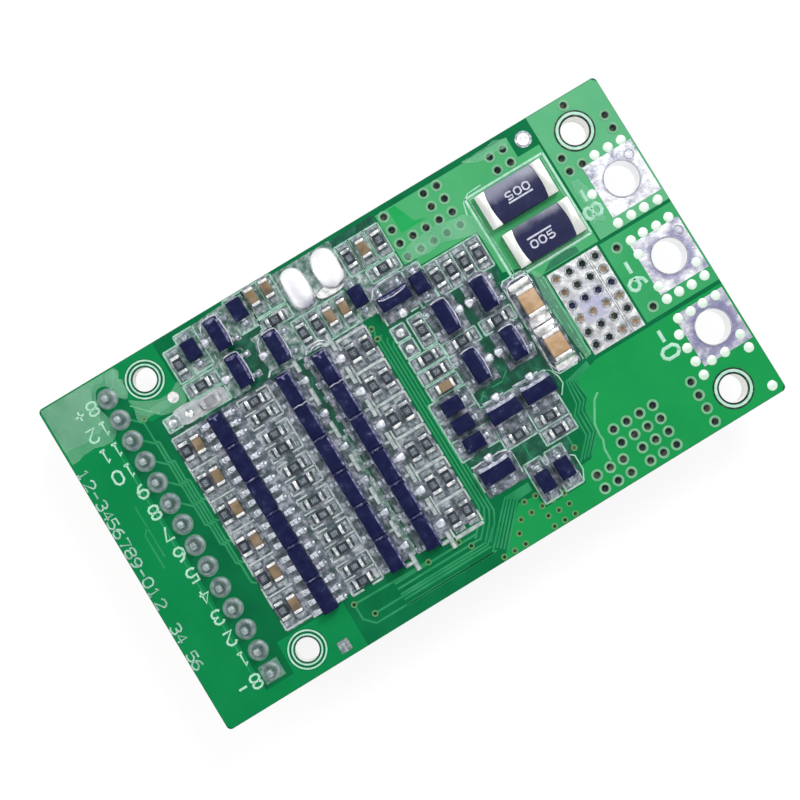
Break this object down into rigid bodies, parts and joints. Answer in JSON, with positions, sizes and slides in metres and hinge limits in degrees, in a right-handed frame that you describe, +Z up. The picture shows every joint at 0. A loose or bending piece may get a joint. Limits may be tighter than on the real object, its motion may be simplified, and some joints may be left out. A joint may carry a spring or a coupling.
{
  "type": "battery management board",
  "caption": "Battery management board with a right-angle balance socket, cell monitors, sensing resistors, power transistors beneath and plated power-wire holes",
  "frame": {"origin": "centre of the bounding box at its base, on the plane through the socket's underside", "axes": "X along the board from the balance socket's mouth to the power-pad end, Y across the board, Z up out of the component side"},
  "size_m": [0.0538, 0.0306, 0.0077],
  "materials": {
    "solder_mask": "green solder mask over glass laminate, under a clear glossy coating",
    "tinned_copper": "bare copper with a levelled tin finish",
    "solder": "bright reflowed solder",
    "white_solder": "hand-made solder mounds, satin",
    "tinned_leads": "tin-plated lead frame",
    "tinned_pins": "tin-plated square wire",
    "tinned_ends": "tin-plated end caps",
    "shunt_metal": "matt tin over copper",
    "moulding_compound": "near-black epoxy moulding",
    "resistor_coating": "near-black glass coat",
    "capacitor_ceramic": "tan ceramic",
    "bulk_ceramic": "light tan ceramic",
    "socket_nylon": "off-white nylon"
  },
  "bodies": {
    "root": {"circuit_board": "solder_mask", "battery_negative_pad": "tinned_copper", "load_negative_pad": "tinned_copper", "charger_negative_pad": "tinned_copper", "heat_field": "tinned_copper", "socket_housing": "socket_nylon", "socket_pins": "tinned_pins", "pin_joints": "solder", "cell_monitor_bodies": "moulding_compound", "cell_monitor_leads": "tinned_leads", "balance_transistor_bodies": "moulding_compound", "balance_transistor_leads": "tinned_leads", "level_shift_transistor_bodies": "moulding_compound", "level_shift_transistor_leads": "tinned_leads", "control_transistor_bodies": "moulding_compound", "control_transistor_leads": "tinned_leads", "diode_bodies": "moulding_compound", "diode_leads": "tinned_leads", "filter_resistor_bodies": "resistor_coating", "filter_resistor_ends": "tinned_ends", "gate_resistor_bodies": "resistor_coating", "gate_resistor_ends": "tinned_ends", "bleed_resistor_bodies": "resistor_coating", "bleed_resistor_ends": "tinned_ends", "control_resistor_bodies": "resistor_coating", "control_resistor_ends": "tinned_ends", "filter_capacitor_bodies": "capacitor_ceramic", "filter_capacitor_ends": "tinned_ends", "control_capacitor_bodies": "capacitor_ceramic", "control_capacitor_ends": "tinned_ends", "bulk_capacitor_bodies": "bulk_ceramic", "bulk_capacitor_ends": "tinned_ends", "bulk_capacitor_solder": "solder", "shunt_bodies": "resistor_coating", "shunt_terminal_plates": "shunt_metal", "wire_solder_mounds": "white_solder", "power_transistor_bodies": "moulding_compound", "power_transistor_tabs": "tinned_copper", "power_transistor_leads": "tinned_leads"}
  },
  "joints": []
}
